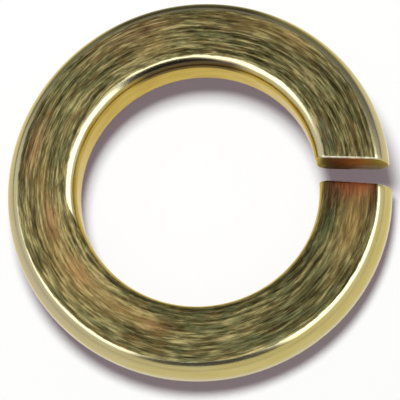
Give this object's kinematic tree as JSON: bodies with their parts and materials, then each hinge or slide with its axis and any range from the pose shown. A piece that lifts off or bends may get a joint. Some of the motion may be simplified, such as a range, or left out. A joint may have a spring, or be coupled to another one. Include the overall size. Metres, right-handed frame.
{
  "type": "spring lock washer",
  "caption": "Split spring lock washer, one helical turn of rounded keystone wire with offset sheared ends, zinc plated with a yellow chromate finish.",
  "frame": {"origin": "on the hole's axis, at the height of the washer's lowest point", "axes": "+Z along the hole's axis towards the raised end, +X through the middle of the split"},
  "size_m": [0.0204, 0.0204, 0.0054],
  "materials": {
    "yellow_zinc": "spring steel, zinc plated with a yellow chromate: olive-gold, drawing marks on the faces, smooth bright walls"
  },
  "bodies": {
    "root": {"lock_washer": "yellow_zinc"}
  },
  "joints": []
}
